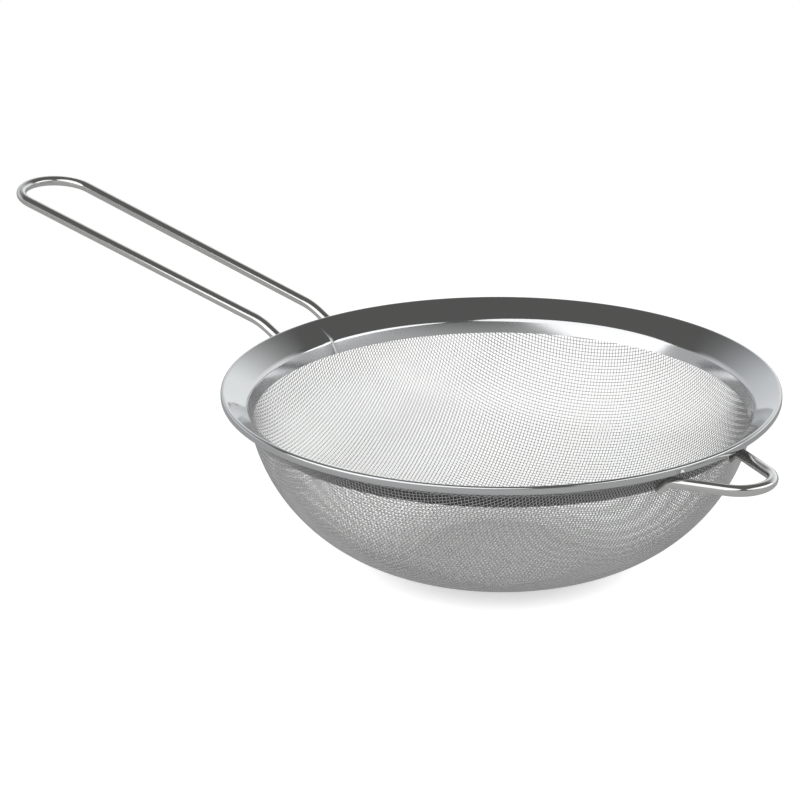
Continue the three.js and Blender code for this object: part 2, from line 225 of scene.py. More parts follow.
class Section:
    """Places in a section through the axis, as (radius, height) pairs."""

    def __init__(self, sieve):
        hoop, cloth, wire = sieve.hoop, sieve.cloth, sieve.wire
        slope = hoop.flange_slope
        self.slope = slope
        self.lip_radius = hoop.radius - hoop.sheet / 2
        roll_height = hoop.height - hoop.sheet / 2 - hoop.lip_roll
        self.flange_top = roll_height + hoop.lip_roll * (1 + math.sin(slope)) / math.cos(slope)
        bend_radius = hoop.radius - hoop.flange_width
        self.bend = Vector((bend_radius, self.flange_height(bend_radius)))
        skirt = Vector((hoop.skirt_height * math.tan(hoop.skirt_lean), hoop.skirt_height))
        self.skirt_foot = self.bend - skirt
        self.skirt_out = Vector((math.cos(hoop.skirt_lean), -math.sin(hoop.skirt_lean)))
        self.cloth_offset = hoop.sheet / 2 + wire.gap + cloth.thickness / 2
        self.wire_offset = self.cloth_offset + cloth.thickness / 2 + wire.gap
        hem_radius = self.lip_radius - hoop.hem_length
        under = (self.wire_offset - wire.gap) / math.cos(slope)
        hem_height = self.flange_height(hem_radius) - under - wire.gap - hoop.sheet / 2
        self.hem = Vector((hem_radius, hem_height))
        self.lip_bottom = Vector((hoop.radius, hem_height - hoop.sheet / 2))
        edge = self.lip_radius - hoop.lip_roll - wire.gap - self.cloth_offset * math.sin(slope)
        self.flange_edge = Vector((edge, self.flange_height(edge)))

    def flange_height(self, radius):
        return self.flange_top - (self.lip_radius - radius) * math.tan(self.slope)

    def beside_strip(self, offset):
        """Skirt foot, corner and flange edge, moved out to one distance under the strip."""
        down = -up_of(self.slope)
        corner = self.bend + (self.skirt_out + down) * offset / (1 + self.skirt_out.dot(down))
        return self.skirt_foot + self.skirt_out * offset, corner, self.flange_edge + down * offset


def on_leg(start, heading, place):
    """Point of a leg's plan line, heading for the axis, at the radius and height of a place."""
    along = start.dot(heading)
    away = start.length_squared - place.x * place.x
    plan = start + heading * (-along - math.sqrt(along * along - away))
    return Vector((plan.x, plan.y, place.y))


# Modelling steps

def deselect_all():
    bpy.ops.object.select_all(action="DESELECT")


def make_active(obj):
    deselect_all()
    obj.select_set(True)
    bpy.context.view_layer.objects.active = obj


def add_ring(name, sides, radius, place, turn=(0.0, 0.0, 0.0)):
    """Adds an open ring and leaves it selected in edit mode."""
    deselect_all()
    bpy.ops.mesh.primitive_circle_add(
        vertices=sides, radius=radius, fill_type="NOTHING", location=place, rotation=turn,
    )
    ring = bpy.context.object
    ring.name = name
    ring.data.name = name
    bpy.ops.object.transform_apply(location=True, rotation=True, scale=True)
    bpy.ops.object.mode_set(mode="EDIT")
    bpy.ops.mesh.select_all(action="SELECT")
    return ring


def run_to(step):
    """Draws the selected ring out by a straight step."""
    bpy.ops.mesh.extrude_edges_move(TRANSFORM_OT_translate={"value": tuple(step)})


def turn_about(centre, axis, turn, steps):
    """Draws the selected ring round an arc. The spin counts turns to the right, so the turn is negated."""
    bpy.ops.mesh.spin(steps=steps, angle=-turn, center=tuple(centre), axis=tuple(axis))


def apply_modifier(obj, kind, **values):
    make_active(obj)
    modifier = obj.modifiers.new(kind.title(), kind)
    for key, value in values.items():
        setattr(modifier, key, value)
    bpy.ops.object.modifier_apply(modifier=modifier.name)


def select_edges(obj, wanted):
    """Selects the edges, in edit mode, whose two ends both meet a test."""
    bpy.ops.mesh.select_mode(type="EDGE")
    bpy.ops.mesh.select_all(action="DESELECT")
    bpy.ops.object.mode_set(mode="OBJECT")
    mesh = obj.data
    chosen = [wanted(vertex.co) for vertex in mesh.vertices]
    for edge in mesh.edges:
        edge.select = all(chosen[v] for v in edge.vertices)
    bpy.ops.object.mode_set(mode="EDIT")


def finish_mesh(obj, smooth_angle):
    """Merges doubles, points the faces outwards and smooths what isn't a corner."""
    make_active(obj)
    bpy.ops.object.mode_set(mode="EDIT")
    bpy.ops.mesh.select_all(action="SELECT")
    bpy.ops.mesh.remove_doubles(threshold=MERGE_REACH)
    bpy.ops.mesh.normals_make_consistent(inside=False)
    bpy.ops.object.mode_set(mode="OBJECT")
    bpy.ops.object.shade_smooth_by_angle(angle=smooth_angle)


def dress(obj, material, slot, *nodes):
    """Gives a piece its finish and ties it to the frame."""
    obj.data.materials.clear()
    obj.data.materials.append(material)
    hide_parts(*nodes)
    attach(obj, BODY)


def add_finish(obj, material, wanted):
    """Gives a second finish to the wanted faces of a piece."""
    obj.data.materials.append(material)
    for face in obj.data.polygons:
        if wanted(face):
            face.material_index = 1


# Hoop

def roll_corner(obj, corner, turn, roll):
    """Rounds the hoop's edge loop at a corner of its section to a centre line radius."""
    reach = 1e-6
    select_edges(obj, lambda co: (Vector((Vector(co.xy).length, co.z)) - corner).length < reach)
    offset = roll * math.tan(turn / 2)
    bpy.ops.mesh.bevel(
        offset=offset, offset_type="OFFSET", segments=ROLL_STEPS, profile=0.5, affect="EDGES",
    )


def turn_between(before, corner, after):
    return (corner - before).angle(after - corner)


def press_seam(obj, hoop, bend_radius):
    """Splits the strip along its butt seam and presses a notch where the seam crosses the bend."""
    step = 2 * math.pi / HOOP_STEPS
    line = round(hoop.seam_angle / step) * step
    close = 1e-5
    away = Vector((math.cos(line), math.sin(line)))

    def on_seam(co):
        return abs(away.cross(Vector(co.xy))) < close and away.dot(Vector(co.xy)) > 0

    select_edges(obj, on_seam)
    bpy.ops.mesh.bevel(
        offset=hoop.seam_width / 2, offset_type="OFFSET", segments=2, profile=0.5, affect="EDGES",
    )
    near = hoop.bend_roll / 3
    select_edges(obj, lambda co: on_seam(co) and abs(Vector(co.xy).length - bend_radius) < near)
    bpy.ops.transform.shrink_fatten(
        value=-hoop.notch_depth, use_proportional_edit=True, proportional_edit_falloff="SHARP",
        proportional_size=hoop.notch_reach,
    )


def make_hoop(sieve):
    hoop = sieve.hoop
    section = Section(sieve)
    lip_top = Vector((section.lip_radius, section.flange_top))
    lip_low = Vector((section.lip_radius, section.hem.y))
    flange_middle = section.bend.lerp(lip_top, FLANGE_SPLIT)
    corners = [section.skirt_foot, section.bend, flange_middle, lip_top, lip_low, section.hem]
    rolls = {1: hoop.bend_roll, 3: hoop.lip_roll, 4: hoop.hem_roll}
    first = corners[0]
    obj = add_ring("hoop_sheet", HOOP_STEPS, first.x, (0.0, 0.0, first.y))
    for before, after in zip(corners, corners[1:]):
        run_to((0.0, 0.0, after.y - before.y))
        grow = after.x / before.x
        bpy.ops.transform.resize(value=(grow, grow, 1.0), center_override=(0.0, 0.0, after.y))
    for i, roll in rolls.items():
        turn = turn_between(*corners[i - 1:i + 2])
        roll_corner(obj, corners[i], turn, roll)
    press_seam(obj, hoop, section.bend.x)
    bpy.ops.mesh.select_all(action="SELECT")
    bpy.ops.mesh.normals_make_consistent(inside=False)
    bpy.ops.object.mode_set(mode="OBJECT")
    apply_modifier(obj, "SOLIDIFY", thickness=hoop.sheet, offset=0.0, use_even_offset=True)
    bpy.ops.object.shade_smooth_by_angle(angle=SHEET_SMOOTH)
    return obj


def paint_back_shade(obj, material, section):
    """Gives the faces that the cloth lies against a second, rougher finish, whose dark colour is painted
    shade for the recess behind the cloth and under the flange.
    """
    least = 0.5  # share of a face's normal that has to point to the cloth

    def faces_cloth(face):
        radius = Vector(face.center.xy).length
        outward = Vector(face.normal.xy).dot(Vector(face.center.xy)) / radius
        behind_skirt = radius < section.bend.x and outward > least
        under_flange = section.bend.x <= radius < section.hem.x and face.normal.z < -least
        return behind_skirt or under_flange

    add_finish(obj, material, faces_cloth)


# Cloth

def arc(centre, radius, start, end):
    turns = np.linspace(start, end, max(2, int(abs(end - start) * radius / PROFILE_STEP)))
    return np.c_[centre.x + radius * np.sin(turns), centre.y - radius * np.cos(turns)]


class ClothSurface:
    """The surface of the cloth's middle, by the distance along its section and the angle round it."""

    def __init__(self, sieve):
        cloth = sieve.cloth
        section = Section(sieve)
        mouth, corner, edge = section.beside_strip(section.cloth_offset)
        base = cloth.base_radius
        press = base - math.sqrt(base ** 2 - cloth.base_flat ** 2)
        base_centre = Vector((0.0, cloth.thickness / 2 - press + base))
        wall_out = Vector((math.cos(cloth.wall_lean), -math.sin(cloth.wall_lean)))
        reach = mouth - base_centre
        side = (base ** 2 - reach.length_squared) / (2 * (base - reach.dot(wall_out)))
        side_centre = mouth - wall_out * side
        meeting = math.atan2(side_centre.x, base_centre.y - side_centre.y)
        beyond = edge + (edge - corner)
        line = np.vstack([
            [(0.0, cloth.thickness / 2)],
            arc(base_centre, base, math.asin(cloth.base_flat / base), meeting),
            arc(side_centre, side, meeting, math.pi / 2 - cloth.wall_lean)[1:],
            [corner, edge, beyond],
        ])
        gone = np.r_[0.0, np.cumsum(np.hypot(*np.diff(line, axis=0).T))]
        self.end = gone[-2]
        self.limit = gone[-1]
        self.gone = np.arange(0.0, self.limit, PROFILE_STEP)
        self.radius = np.interp(self.gone, gone, line[:, 0])
        self.height = np.interp(self.gone, gone, line[:, 1])
        self.rise = np.gradient(self.height, PROFILE_STEP)
        self.spread = np.gradient(self.radius, PROFILE_STEP)

    def at(self, gone, turn):
        radius = np.interp(gone, self.gone, self.radius)
        height = np.interp(gone, self.gone, self.height)
        return np.stack([radius * np.cos(turn), radius * np.sin(turn), height], -1)

    def slopes(self, gone, turn):
        """Change of place along the section and round the axis."""
        radius = np.interp(gone, self.gone, self.radius)
        spread = np.interp(gone, self.gone, self.spread)
        rise = np.interp(gone, self.gone, self.rise)
        along = np.stack([spread * np.cos(turn), spread * np.sin(turn), rise], -1)
        around = np.stack([-radius * np.sin(turn), radius * np.cos(turn), np.zeros_like(radius)], -1)
        return along, around

    def normals(self, gone, turn):
        spread = np.interp(gone, self.gone, self.spread)
        rise = np.interp(gone, self.gone, self.rise)
        return np.stack([-rise * np.cos(turn), -rise * np.sin(turn), spread], -1)

    def nearest(self, place):
        """Distance along the section and angle of the surface point above or below a place."""
        radius = np.hypot(place[:, 0], place[:, 1])
        return np.interp(radius, self.radius, self.gone), np.arctan2(place[:, 1], place[:, 0])


def weave_quadrant(surface, pitch):
    """Crossings of one quarter of the cloth, whose cells shear but keep four sides of one pitch.

    Gives their distances along the section, their places and the surface's normals there.
    """
    count = int(surface.end / pitch) + 2
    gone = np.full((count, count), np.nan)
    turn = np.full((count, count), np.nan)
    gone[:, 0] = gone[0, :] = np.arange(count) * pitch
    turn[0, :] = math.pi / 2
    turn[:, 0] = 0.0
    place = surface.at(gone, turn)
    for rank in range(2, 2 * count - 1):
        i = np.arange(max(1, rank - count + 1), min(rank - 1, count - 1) + 1)
        j = rank - i
        known = ~np.isnan(gone[i - 1, j] + gone[i, j - 1])
        i, j = i[known], j[known]
        one, two = place[i - 1, j], place[i, j - 1]
        reached, bearing = surface.nearest(one + two - place[i - 1, j - 1])
        for _ in range(SOLVE_ROUNDS):
            here = surface.at(reached, bearing)
            along, around = surface.slopes(reached, bearing)
            miss_one = ((here - one) ** 2).sum(1) - pitch ** 2
            miss_two = ((here - two) ** 2).sum(1) - pitch ** 2
            one_along = 2 * ((here - one) * along).sum(1)
            one_around = 2 * ((here - one) * around).sum(1)
            two_along = 2 * ((here - two) * along).sum(1)
            two_around = 2 * ((here - two) * around).sum(1)
            scale = one_along * two_around - one_around * two_along
            reached = reached - (miss_one * two_around - miss_two * one_around) / scale
            bearing = bearing - (one_along * miss_two - two_along * miss_one) / scale
        inside = reached < surface.limit - pitch
        gone[i, j] = np.where(inside, reached, np.nan)
        turn[i, j] = bearing
        place[i, j] = np.where(inside[:, None], surface.at(reached, bearing), np.nan)
    return gone, place, surface.normals(gone, turn)


def woven_lines(quadrant, end, lift):
    """Centre lines of the wires of one direction, which pass over and under those of the other."""
    gone, place, normals = quadrant
    count = len(gone)
    lines = []
    for i in range(1 - count, count):
        last = np.count_nonzero(gone[abs(i)] <= end) - 1
        if last < 1:
            continue
        j = np.arange(-last, last + 1)
        over = np.where((i + j) % 2, -lift, lift)[:, None]
        line = place[abs(i), abs(j)] + over * normals[abs(i), abs(j)]
        line[:, 0] *= math.copysign(1, i)
        line[:, 1] *= np.where(j < 0, -1, 1)
        lines.append(line)
    return lines


def turned(line, turn):
    cos, sin = math.cos(turn), math.sin(turn)
    return np.c_[line[:, 0] * cos - line[:, 1] * sin, line[:, 0] * sin + line[:, 1] * cos, line[:, 2]]


def draw_wires(name, lines, diameter):
    """A mesh of thin round wires along centre lines."""
    curve = bpy.data.curves.new(name, "CURVE")
    curve.dimensions = "3D"
    curve.bevel_depth = diameter / 2
    curve.bevel_resolution = 1
    curve.use_fill_caps = True
    for line in lines:
        spline = curve.splines.new("POLY")
        spline.points.add(len(line) - 1)
        spline.points.foreach_set("co", np.c_[line, np.ones(len(line))].ravel())
    obj = bpy.data.objects.new(name, curve)
    bpy.context.collection.objects.link(obj)
    make_active(obj)
    bpy.ops.object.convert(target="MESH")
    bpy.ops.object.shade_smooth()
    return bpy.context.object


def make_cloth(sieve):
    cloth = sieve.cloth
    surface = ClothSurface(sieve)
    quadrant = weave_quadrant(surface, cloth.pitch)
    pieces = []
    wire = cloth.thickness / 2
    weft_lift = wire * cloth.crimp
    weft_turn = cloth.turn + math.pi / 2
    for name, lift, turn in (("warp", weft_lift - wire, cloth.turn), ("weft", weft_lift, weft_turn)):
        lines = [turned(line, turn) for line in woven_lines(quadrant, surface.end, lift)]
        crossings = np.cumsum([len(line) for line in lines])
        share = np.minimum(crossings * CLOTH_PIECES // (crossings[-1] + 1), CLOTH_PIECES - 1)
        for k in range(CLOTH_PIECES):
            group = [line for line, part in zip(lines, share) if part == k]
            pieces.append(draw_wires(f"cloth_{name}_{k + 1}", group, wire))
    return pieces


# Wires

def follow(place, corners, rolls):
    """Draws the selected ring along a line from a place, through rounded corners, to the last."""
    for i, corner in enumerate(corners):
        ahead = (corner - place).normalized()
        if i == len(corners) - 1:
            run_to(corner - place)
            return
        after = (corners[i + 1] - corner).normalized()
        turn = ahead.angle(after)
        start = corner - ahead * rolls[i] * math.tan(turn / 2)
        axis = ahead.cross(after).normalized()
        centre = start + axis.cross(ahead) * rolls[i]
        run_to(start - place)
        turn_about(centre, axis, turn, WIRE_BEND_STEPS)
        place = corner + after * rolls[i] * math.tan(turn / 2)


def cap_end(rounding):
    """Closes the selected ring and rounds its edge."""
    bpy.ops.mesh.edge_face_add()
    bpy.ops.mesh.bevel(offset=rounding, segments=3, affect="EDGES")


def press_pad(obj, end, corner, wire):
    """Presses the flat that the weld leaves into the end of a leg."""
    along = (end - corner).normalized()
    side = along.cross(Vector((0.0, 0.0, 1.0))).normalized()
    outward = along.cross(side)
    deselect_all()
    bpy.ops.mesh.primitive_cube_add(size=1.0)
    box = bpy.context.object
    spin = Matrix((along, side, outward)).transposed().to_4x4()
    place = Matrix.Translation(end + outward * (wire.diameter - wire.pad_depth))
    size = Matrix.Diagonal((2 * wire.pad_length, 2 * wire.diameter, wire.diameter, 1.0))
    box.matrix_world = place @ spin @ size
    bpy.context.view_layer.update()
    apply_modifier(obj, "BOOLEAN", operation="DIFFERENCE", object=box, solver="EXACT")
    bpy.data.objects.remove(box)


def mirror_wire(obj):
    apply_modifier(
        obj, "MIRROR", use_axis=(False, True, False), use_clip=True, merge_threshold=MIRROR_REACH,
    )
    finish_mesh(obj, WIRE_SMOOTH)
    return obj


def make_handle(sieve):
    hoop, wire = sieve.hoop, sieve.wire
    section = Section(sieve)
    half = wire.diameter / 2
    nook = section.beside_strip(section.wire_offset)[1]
    span = section.lip_bottom - nook
    neck_slope = math.atan2(span.y, span.x) - math.asin(wire.gap / span.length)
    under_lip = section.lip_bottom - up_of(neck_slope) * (half + wire.gap)
    neck = hoop.radius + wire.handle_neck
    neck_height = under_lip.y + (neck - under_lip.x) * math.tan(neck_slope)
    slope = wire.handle_slope
    end_turn = wire.end_width / 2
    end_centre = wire.handle_end - half - end_turn * math.cos(slope)

    def height_at(x):
        return neck_height + (-x - neck) * math.tan(slope)

    start = Vector((-end_centre, end_turn))
    heading = (Vector((-hoop.radius, wire.root_width / 2)) - start).normalized()
    neck_side = start.y + (-neck - start.x) * heading.y / heading.x
    centre = Vector((-end_centre, 0.0, height_at(-end_centre)))
    out = Vector((-math.cos(slope), 0.0, math.sin(slope)))
    across = Vector((0.0, 1.0, 0.0))
    neck_place = Vector((-neck, neck_side, neck_height))
    leg = (neck_place - (centre + across * end_turn)).normalized()
    taper = math.asin(-leg.y)
    roll = end_turn * math.cos(taper)
    turn = math.pi / 2 + taper
    obj = add_ring("handle_wire", WIRE_SIDES, half, centre + out * roll, (math.pi / 2, 0.0, 0.0))
    turn_about(centre, out.cross(across), turn, WIRE_TURN_STEPS)
    tangent = centre + (out * math.cos(turn) + across * math.sin(turn)) * roll
    end = on_leg(start, heading, nook - up_of(neck_slope) * half)
    follow(tangent, [neck_place, end], [wire.neck_roll])
    cap_end(half * WIRE_END_ROUND)
    bpy.ops.object.mode_set(mode="OBJECT")
    press_pad(obj, end, neck_place, wire)
    return mirror_wire(obj)


def make_loop(sieve):
    hoop, wire = sieve.hoop, sieve.wire
    section = Section(sieve)
    half = wire.diameter / 2
    level = section.lip_bottom.y - wire.loop_drop - wire.gap - half
    under_lip = Vector((hoop.radius, level))
    level_up, foot_up = up_of(0.0), up_of(wire.foot_slope)
    level_in, foot_in = in_of(0.0), in_of(wire.foot_slope)
    mitre = (level_up + foot_up) * half / (1 + level_up.dot(foot_up))
    skirt_face, nook, _ = section.beside_strip(section.wire_offset)
    flange_up = up_of(section.slope)
    rise = (under_lip + mitre - nook).dot(flange_up)
    corner = under_lip - level_in * rise / level_in.dot(flange_up)
    room = (corner + foot_up * half - skirt_face).dot(section.skirt_out)
    end = corner - foot_in * room / foot_in.dot(section.skirt_out)
    centre = Vector((wire.loop_end - half - wire.tip_roll, 0.0, level))
    turn = math.pi / 2 - wire.half_angle
    tip = centre + Vector((wire.tip_roll, 0.0, 0.0))
    obj = add_ring("rest_loop_wire", WIRE_SIDES, half, tip, (math.pi / 2, 0.0, 0.0))
    turn_about(centre, (0.0, 0.0, 1.0), turn, WIRE_TURN_STEPS)
    tangent = centre + Vector((math.cos(turn), math.sin(turn), 0.0)) * wire.tip_roll
    heading = Vector((-math.cos(wire.half_angle), math.sin(wire.half_angle)))
    corner_place = on_leg(tangent.xy, heading, corner)
    end_place = on_leg(tangent.xy, heading, end)
    follow(tangent, [corner_place, end_place], [wire.foot_roll])
    cap_end(half * WIRE_END_ROUND)
    bpy.ops.object.mode_set(mode="OBJECT")
    press_pad(obj, end_place, corner_place, wire)
    return mirror_wire(obj)


# Finishes

class Nodes:
    """Adds nodes to a tree and joins them."""

    def __init__(self, tree):
        self.tree = tree
        tree.nodes.clear()

    def add(self, kind, inputs=None, **values):
        node = self.tree.nodes.new(kind)
        for key, value in values.items():
            setattr(node, key, value)
        for key, value in (inputs or {}).items():
            if isinstance(value, bpy.types.NodeSocket):
                self.tree.links.new(value, node.inputs[key])
            else:
                node.inputs[key].default_value = value
        return node

    def work(self, operation, one, two):
        """The sum or the product of two values."""
        return self.add("ShaderNodeMath", {0: one, 1: two}, operation=operation).outputs[0]

    def ramp(self, value, start, end, low=0.0, high=1.0, kind="LINEAR"):
        """A value that goes from low to high while the given one goes from start to end."""
        inputs = {"Value": value, "From Min": start, "From Max": end, "To Min": low, "To Max": high}
        return self.add("ShaderNodeMapRange", inputs, interpolation_type=kind).outputs["Result"]

    def mix(self, share, first, second):
        """A colour that goes from the first to the second as the share grows."""
        inputs = {0: share, 6: first, 7: second}
        return self.add("ShaderNodeMix", inputs, data_type="RGBA").outputs[2]


def polish_group():
    """Grain, haze and waviness of polished steel, from a vector that runs with the grain."""
    group = bpy.data.node_groups.get("Steel polish")
    if group:
        return group
    group = bpy.data.node_groups.new("Steel polish", "ShaderNodeTree")
    for name, kind in (("Grain", "NodeSocketVector"), ("Place", "NodeSocketVector"),
                       ("Least roughness", "NodeSocketFloat"), ("Most roughness", "NodeSocketFloat")):
        group.interface.new_socket(name, in_out="INPUT", socket_type=kind)
    for name in ("Shade", "Roughness", "Height"):
        group.interface.new_socket(name, in_out="OUTPUT", socket_type="NodeSocketFloat")
    nodes = Nodes(group)
    given = nodes.add("NodeGroupInput")
    grain = nodes.add("ShaderNodeTexNoise", {"Vector": given.outputs["Grain"], "Scale": 1.0, "Detail": 3.0})
    haze = nodes.add("ShaderNodeTexNoise", {"Vector": given.outputs["Place"], "Scale": 28.0, "Detail": 4.0})
    wave = nodes.add("ShaderNodeTexNoise", {"Vector": given.outputs["Place"], "Scale": 60.0, "Detail": 1.0})
    both = nodes.work("ADD", grain.outputs["Fac"], haze.outputs["Fac"])
    mean = nodes.work("MULTIPLY", both, 0.5)
    least, most = given.outputs["Least roughness"], given.outputs["Most roughness"]
    rough = nodes.ramp(mean, *NOISE_RANGE, least, most)
    small = nodes.work("MULTIPLY", grain.outputs["Fac"], GRAIN_RELIEF)
    height = nodes.work("ADD", small, wave.outputs["Fac"])
    nodes.add("NodeGroupOutput", {"Shade": mean, "Roughness": rough, "Height": height})
    return group


def around_axis(nodes, place):
    """A vector for grain round the axis: X grows across the sheet, Y and Z turn with the angle."""
    parts = nodes.add("ShaderNodeSeparateXYZ", {"Vector": place}).outputs
    flat = nodes.add("ShaderNodeCombineXYZ", {"X": parts["X"], "Y": parts["Y"]}).outputs[0]
    radius = nodes.add("ShaderNodeVectorMath", {0: flat}, operation="LENGTH").outputs["Value"]
    unit = nodes.add("ShaderNodeVectorMath", {0: flat}, operation="NORMALIZE").outputs[0]
    split = nodes.add("ShaderNodeSeparateXYZ", {"Vector": unit}).outputs
    level = nodes.work("ADD", radius, parts["Z"])
    return nodes.add("ShaderNodeCombineXYZ", {"X": level, "Y": split["X"], "Z": split["Y"]}).outputs[0]


def steel(name, tint, grain_scale, least, most, bump, around=False, matt_below=None):
    """A polished steel with its grain along X or around the axis, which may be matt below a height."""
    material = bpy.data.materials.new(name)
    material.use_nodes = True
    nodes = Nodes(material.node_tree)
    place = nodes.add("ShaderNodeTexCoord").outputs["Object"]
    run = around_axis(nodes, place) if around else place
    grain = nodes.add("ShaderNodeVectorMath", {0: run, 1: grain_scale}, operation="MULTIPLY").outputs[0]
    polish = nodes.add("ShaderNodeGroup", {
        "Grain": grain, "Place": place, "Least roughness": least, "Most roughness": most,
    }, node_tree=polish_group()).outputs
    dark = [HAZE_SHADE * part for part in tint]
    shade = nodes.mix(polish["Shade"], (*dark, 1.0), (*tint, 1.0))
    relief = nodes.add("ShaderNodeBump", {
        "Height": polish["Height"], "Strength": bump, "Distance": BUMP_HEIGHT,
    }).outputs["Normal"]
    roughness = polish["Roughness"]
    if matt_below is not None:
        height = nodes.add("ShaderNodeSeparateXYZ", {"Vector": place}).outputs["Z"]
        low, high = (matt_below + part for part in SKIRT_FADE)
        roughness = nodes.work("ADD", roughness, nodes.ramp(height, low, high, SKIRT_MATT, 0.0))
    shader = nodes.add("ShaderNodeBsdfPrincipled", {
        "Base Color": shade, "Metallic": 1.0, "Roughness": roughness, "Normal": relief,
    })
    nodes.add("ShaderNodeOutputMaterial", {"Surface": shader.outputs[0]})
    return material


# Stage

def camera_frame(stage, target):
    """The camera's place and stance, so that the target falls on its pixel of the picture."""
    turn, climb, roll = stage.azimuth, stage.elevation, stage.roll
    back = Vector((math.sin(turn) * math.cos(climb), -math.cos(turn) * math.cos(climb), math.sin(climb)))
    level = Vector((math.cos(turn), math.sin(turn), 0.0))
    upright = back.cross(level)
    right = level * math.cos(roll) + upright * math.sin(roll)
    up = upright * math.cos(roll) - level * math.sin(roll)
    middle = FRAME_PIXELS / 2
    across = (stage.rim_across - middle) / stage.focal_pixels * stage.distance
    down = (stage.rim_down - middle) / stage.focal_pixels * stage.distance
    eye = target + back * stage.distance - right * across + up * down
    return Matrix.Translation(eye) @ Matrix((right, up, back)).transposed().to_4x4()


def add_camera(stage, target):
    data = bpy.data.cameras.new("camera")
    data.sensor_width = SENSOR
    data.lens = stage.focal_pixels / FRAME_PIXELS * SENSOR
    data.clip_start = 0.01
    data.clip_end = 50.0
    camera = bpy.data.objects.new("camera", data)
    camera.matrix_world = camera_frame(stage, target)
    bpy.context.collection.objects.link(camera)
    bpy.context.scene.camera = camera


def add_softbox(name, target, place, size, power, tip):
    """A long rounded lamp whose right end is tipped up, as seen from the lamp."""
    data = bpy.data.lights.new(name, "AREA")
    data.shape = "ELLIPSE"
    data.size, data.size_y = size
    data.energy = power
    lamp = bpy.data.objects.new(name, data)
    lamp.location = place
    aim = (target - Vector(place)).to_track_quat("-Z", "Y")
    lamp.rotation_euler = (aim @ Quaternion((0.0, 0.0, 1.0), tip)).to_euler()
    bpy.context.collection.objects.link(lamp)


def floor_material(stage):
    """A pale floor that looks white, also in metal, and keeps the shadow of what stands on it."""
    material = bpy.data.materials.new("floor")
    material.use_nodes = True
    nodes = Nodes(material.node_tree)
    path = nodes.add("ShaderNodeLightPath").outputs
    place = nodes.add("ShaderNodeTexCoord").outputs["Object"]
    away = nodes.add("ShaderNodeVectorMath", {0: place}, operation="LENGTH").outputs["Value"]
    far = nodes.ramp(away, *FLOOR_FADE, kind="SMOOTHSTEP")
    blank = nodes.work("MULTIPLY", far, path["Is Camera Ray"])
    touch = nodes.add("ShaderNodeAmbientOcclusion", {"Distance": SHADE_REACH}, samples=SHADE_SAMPLES)
    straight = nodes.work("MULTIPLY", path["Is Camera Ray"], FLOOR_GLOW)
    shaded = nodes.work("MULTIPLY", straight, touch.outputs["AO"])
    metal = nodes.work("MULTIPLY", path["Is Glossy Ray"], METAL_GLOW)
    share = nodes.work("ADD", shaded, metal)
    matt = nodes.add("ShaderNodeBsdfDiffuse", {"Color": (*stage.floor, 1.0)})
    glow = nodes.add("ShaderNodeEmission", {"Color": WHITE, "Strength": share})
    near = nodes.add("ShaderNodeAddShader", {0: matt.outputs[0], 1: glow.outputs[0]})
    white = nodes.add("ShaderNodeEmission", {"Color": WHITE, "Strength": 1.0})
    both = nodes.add("ShaderNodeMixShader", {0: blank, 1: near.outputs[0], 2: white.outputs[0]})
    nodes.add("ShaderNodeOutputMaterial", {"Surface": both.outputs[0]})
    return material


def set_world(stage):
    """A studio with a bright backdrop, a dim room behind the camera and a dark ceiling."""
    world = bpy.data.worlds.new("studio")
    bpy.context.scene.world = world
    world.use_nodes = True
    nodes = Nodes(world.node_tree)
    place = nodes.add("ShaderNodeTexCoord").outputs["Generated"]
    height = nodes.add("ShaderNodeSeparateXYZ", {"Vector": place}).outputs["Z"]

    def along(direction):
        inputs = {0: place, 1: direction}
        return nodes.add("ShaderNodeVectorMath", inputs, operation="DOT_PRODUCT").outputs["Value"]

    turn = stage.azimuth
    side = nodes.ramp(along((math.sin(turn), -math.cos(turn), 0.0)), *ROOM_EDGE, kind="SMOOTHSTEP")
    right = nodes.ramp(along((math.cos(turn), math.sin(turn), 0.0)), *LEFT_EDGE)
    behind = nodes.mix(right, (*stage.backdrop_left, 1.0), (*stage.backdrop, 1.0))
    walls = nodes.mix(side, behind, (*stage.room, 1.0))
    top = nodes.ramp(side, 0.0, 1.0, *CEILING_END)
    climb = nodes.ramp(height, CEILING_START, top, kind="SMOOTHSTEP")
    dome = nodes.mix(climb, walls, (*stage.ceiling, 1.0))
    studio = nodes.add("ShaderNodeBackground", {"Color": dome, "Strength": 1.0})
    white = nodes.add("ShaderNodeBackground", {"Color": WHITE, "Strength": 1.0})
    path = nodes.add("ShaderNodeLightPath")
    both = nodes.add("ShaderNodeMixShader", {
        0: path.outputs["Is Camera Ray"], 1: studio.outputs[0], 2: white.outputs[0],
    })
    nodes.add("ShaderNodeOutputWorld", {"Surface": both.outputs[0]})


def make_stage(sieve):
    stage = sieve.stage
    bpy.context.scene.view_settings.view_transform = "Standard"
    target = Vector((0.0, 0.0, sieve.hoop.height))
    add_camera(stage, target)
    deselect_all()
    bpy.ops.mesh.primitive_plane_add(size=FLOOR_SIZE)
    floor = bpy.context.object
    floor.name = "floor"
    floor.data.materials.append(floor_material(stage))
    set_world(stage)
    add_softbox(
        "left_softbox", target, place=(-0.03, -0.669, 0.59), size=(1.75, 0.75), power=4.2, tip=SOFTBOX_TIP,
    )
    add_softbox(
        "right_softbox", target, place=(0.7, 0.33, 0.5), size=(1.3, 0.36), power=1.65, tip=-SOFTBOX_TIP,
    )


# Operators

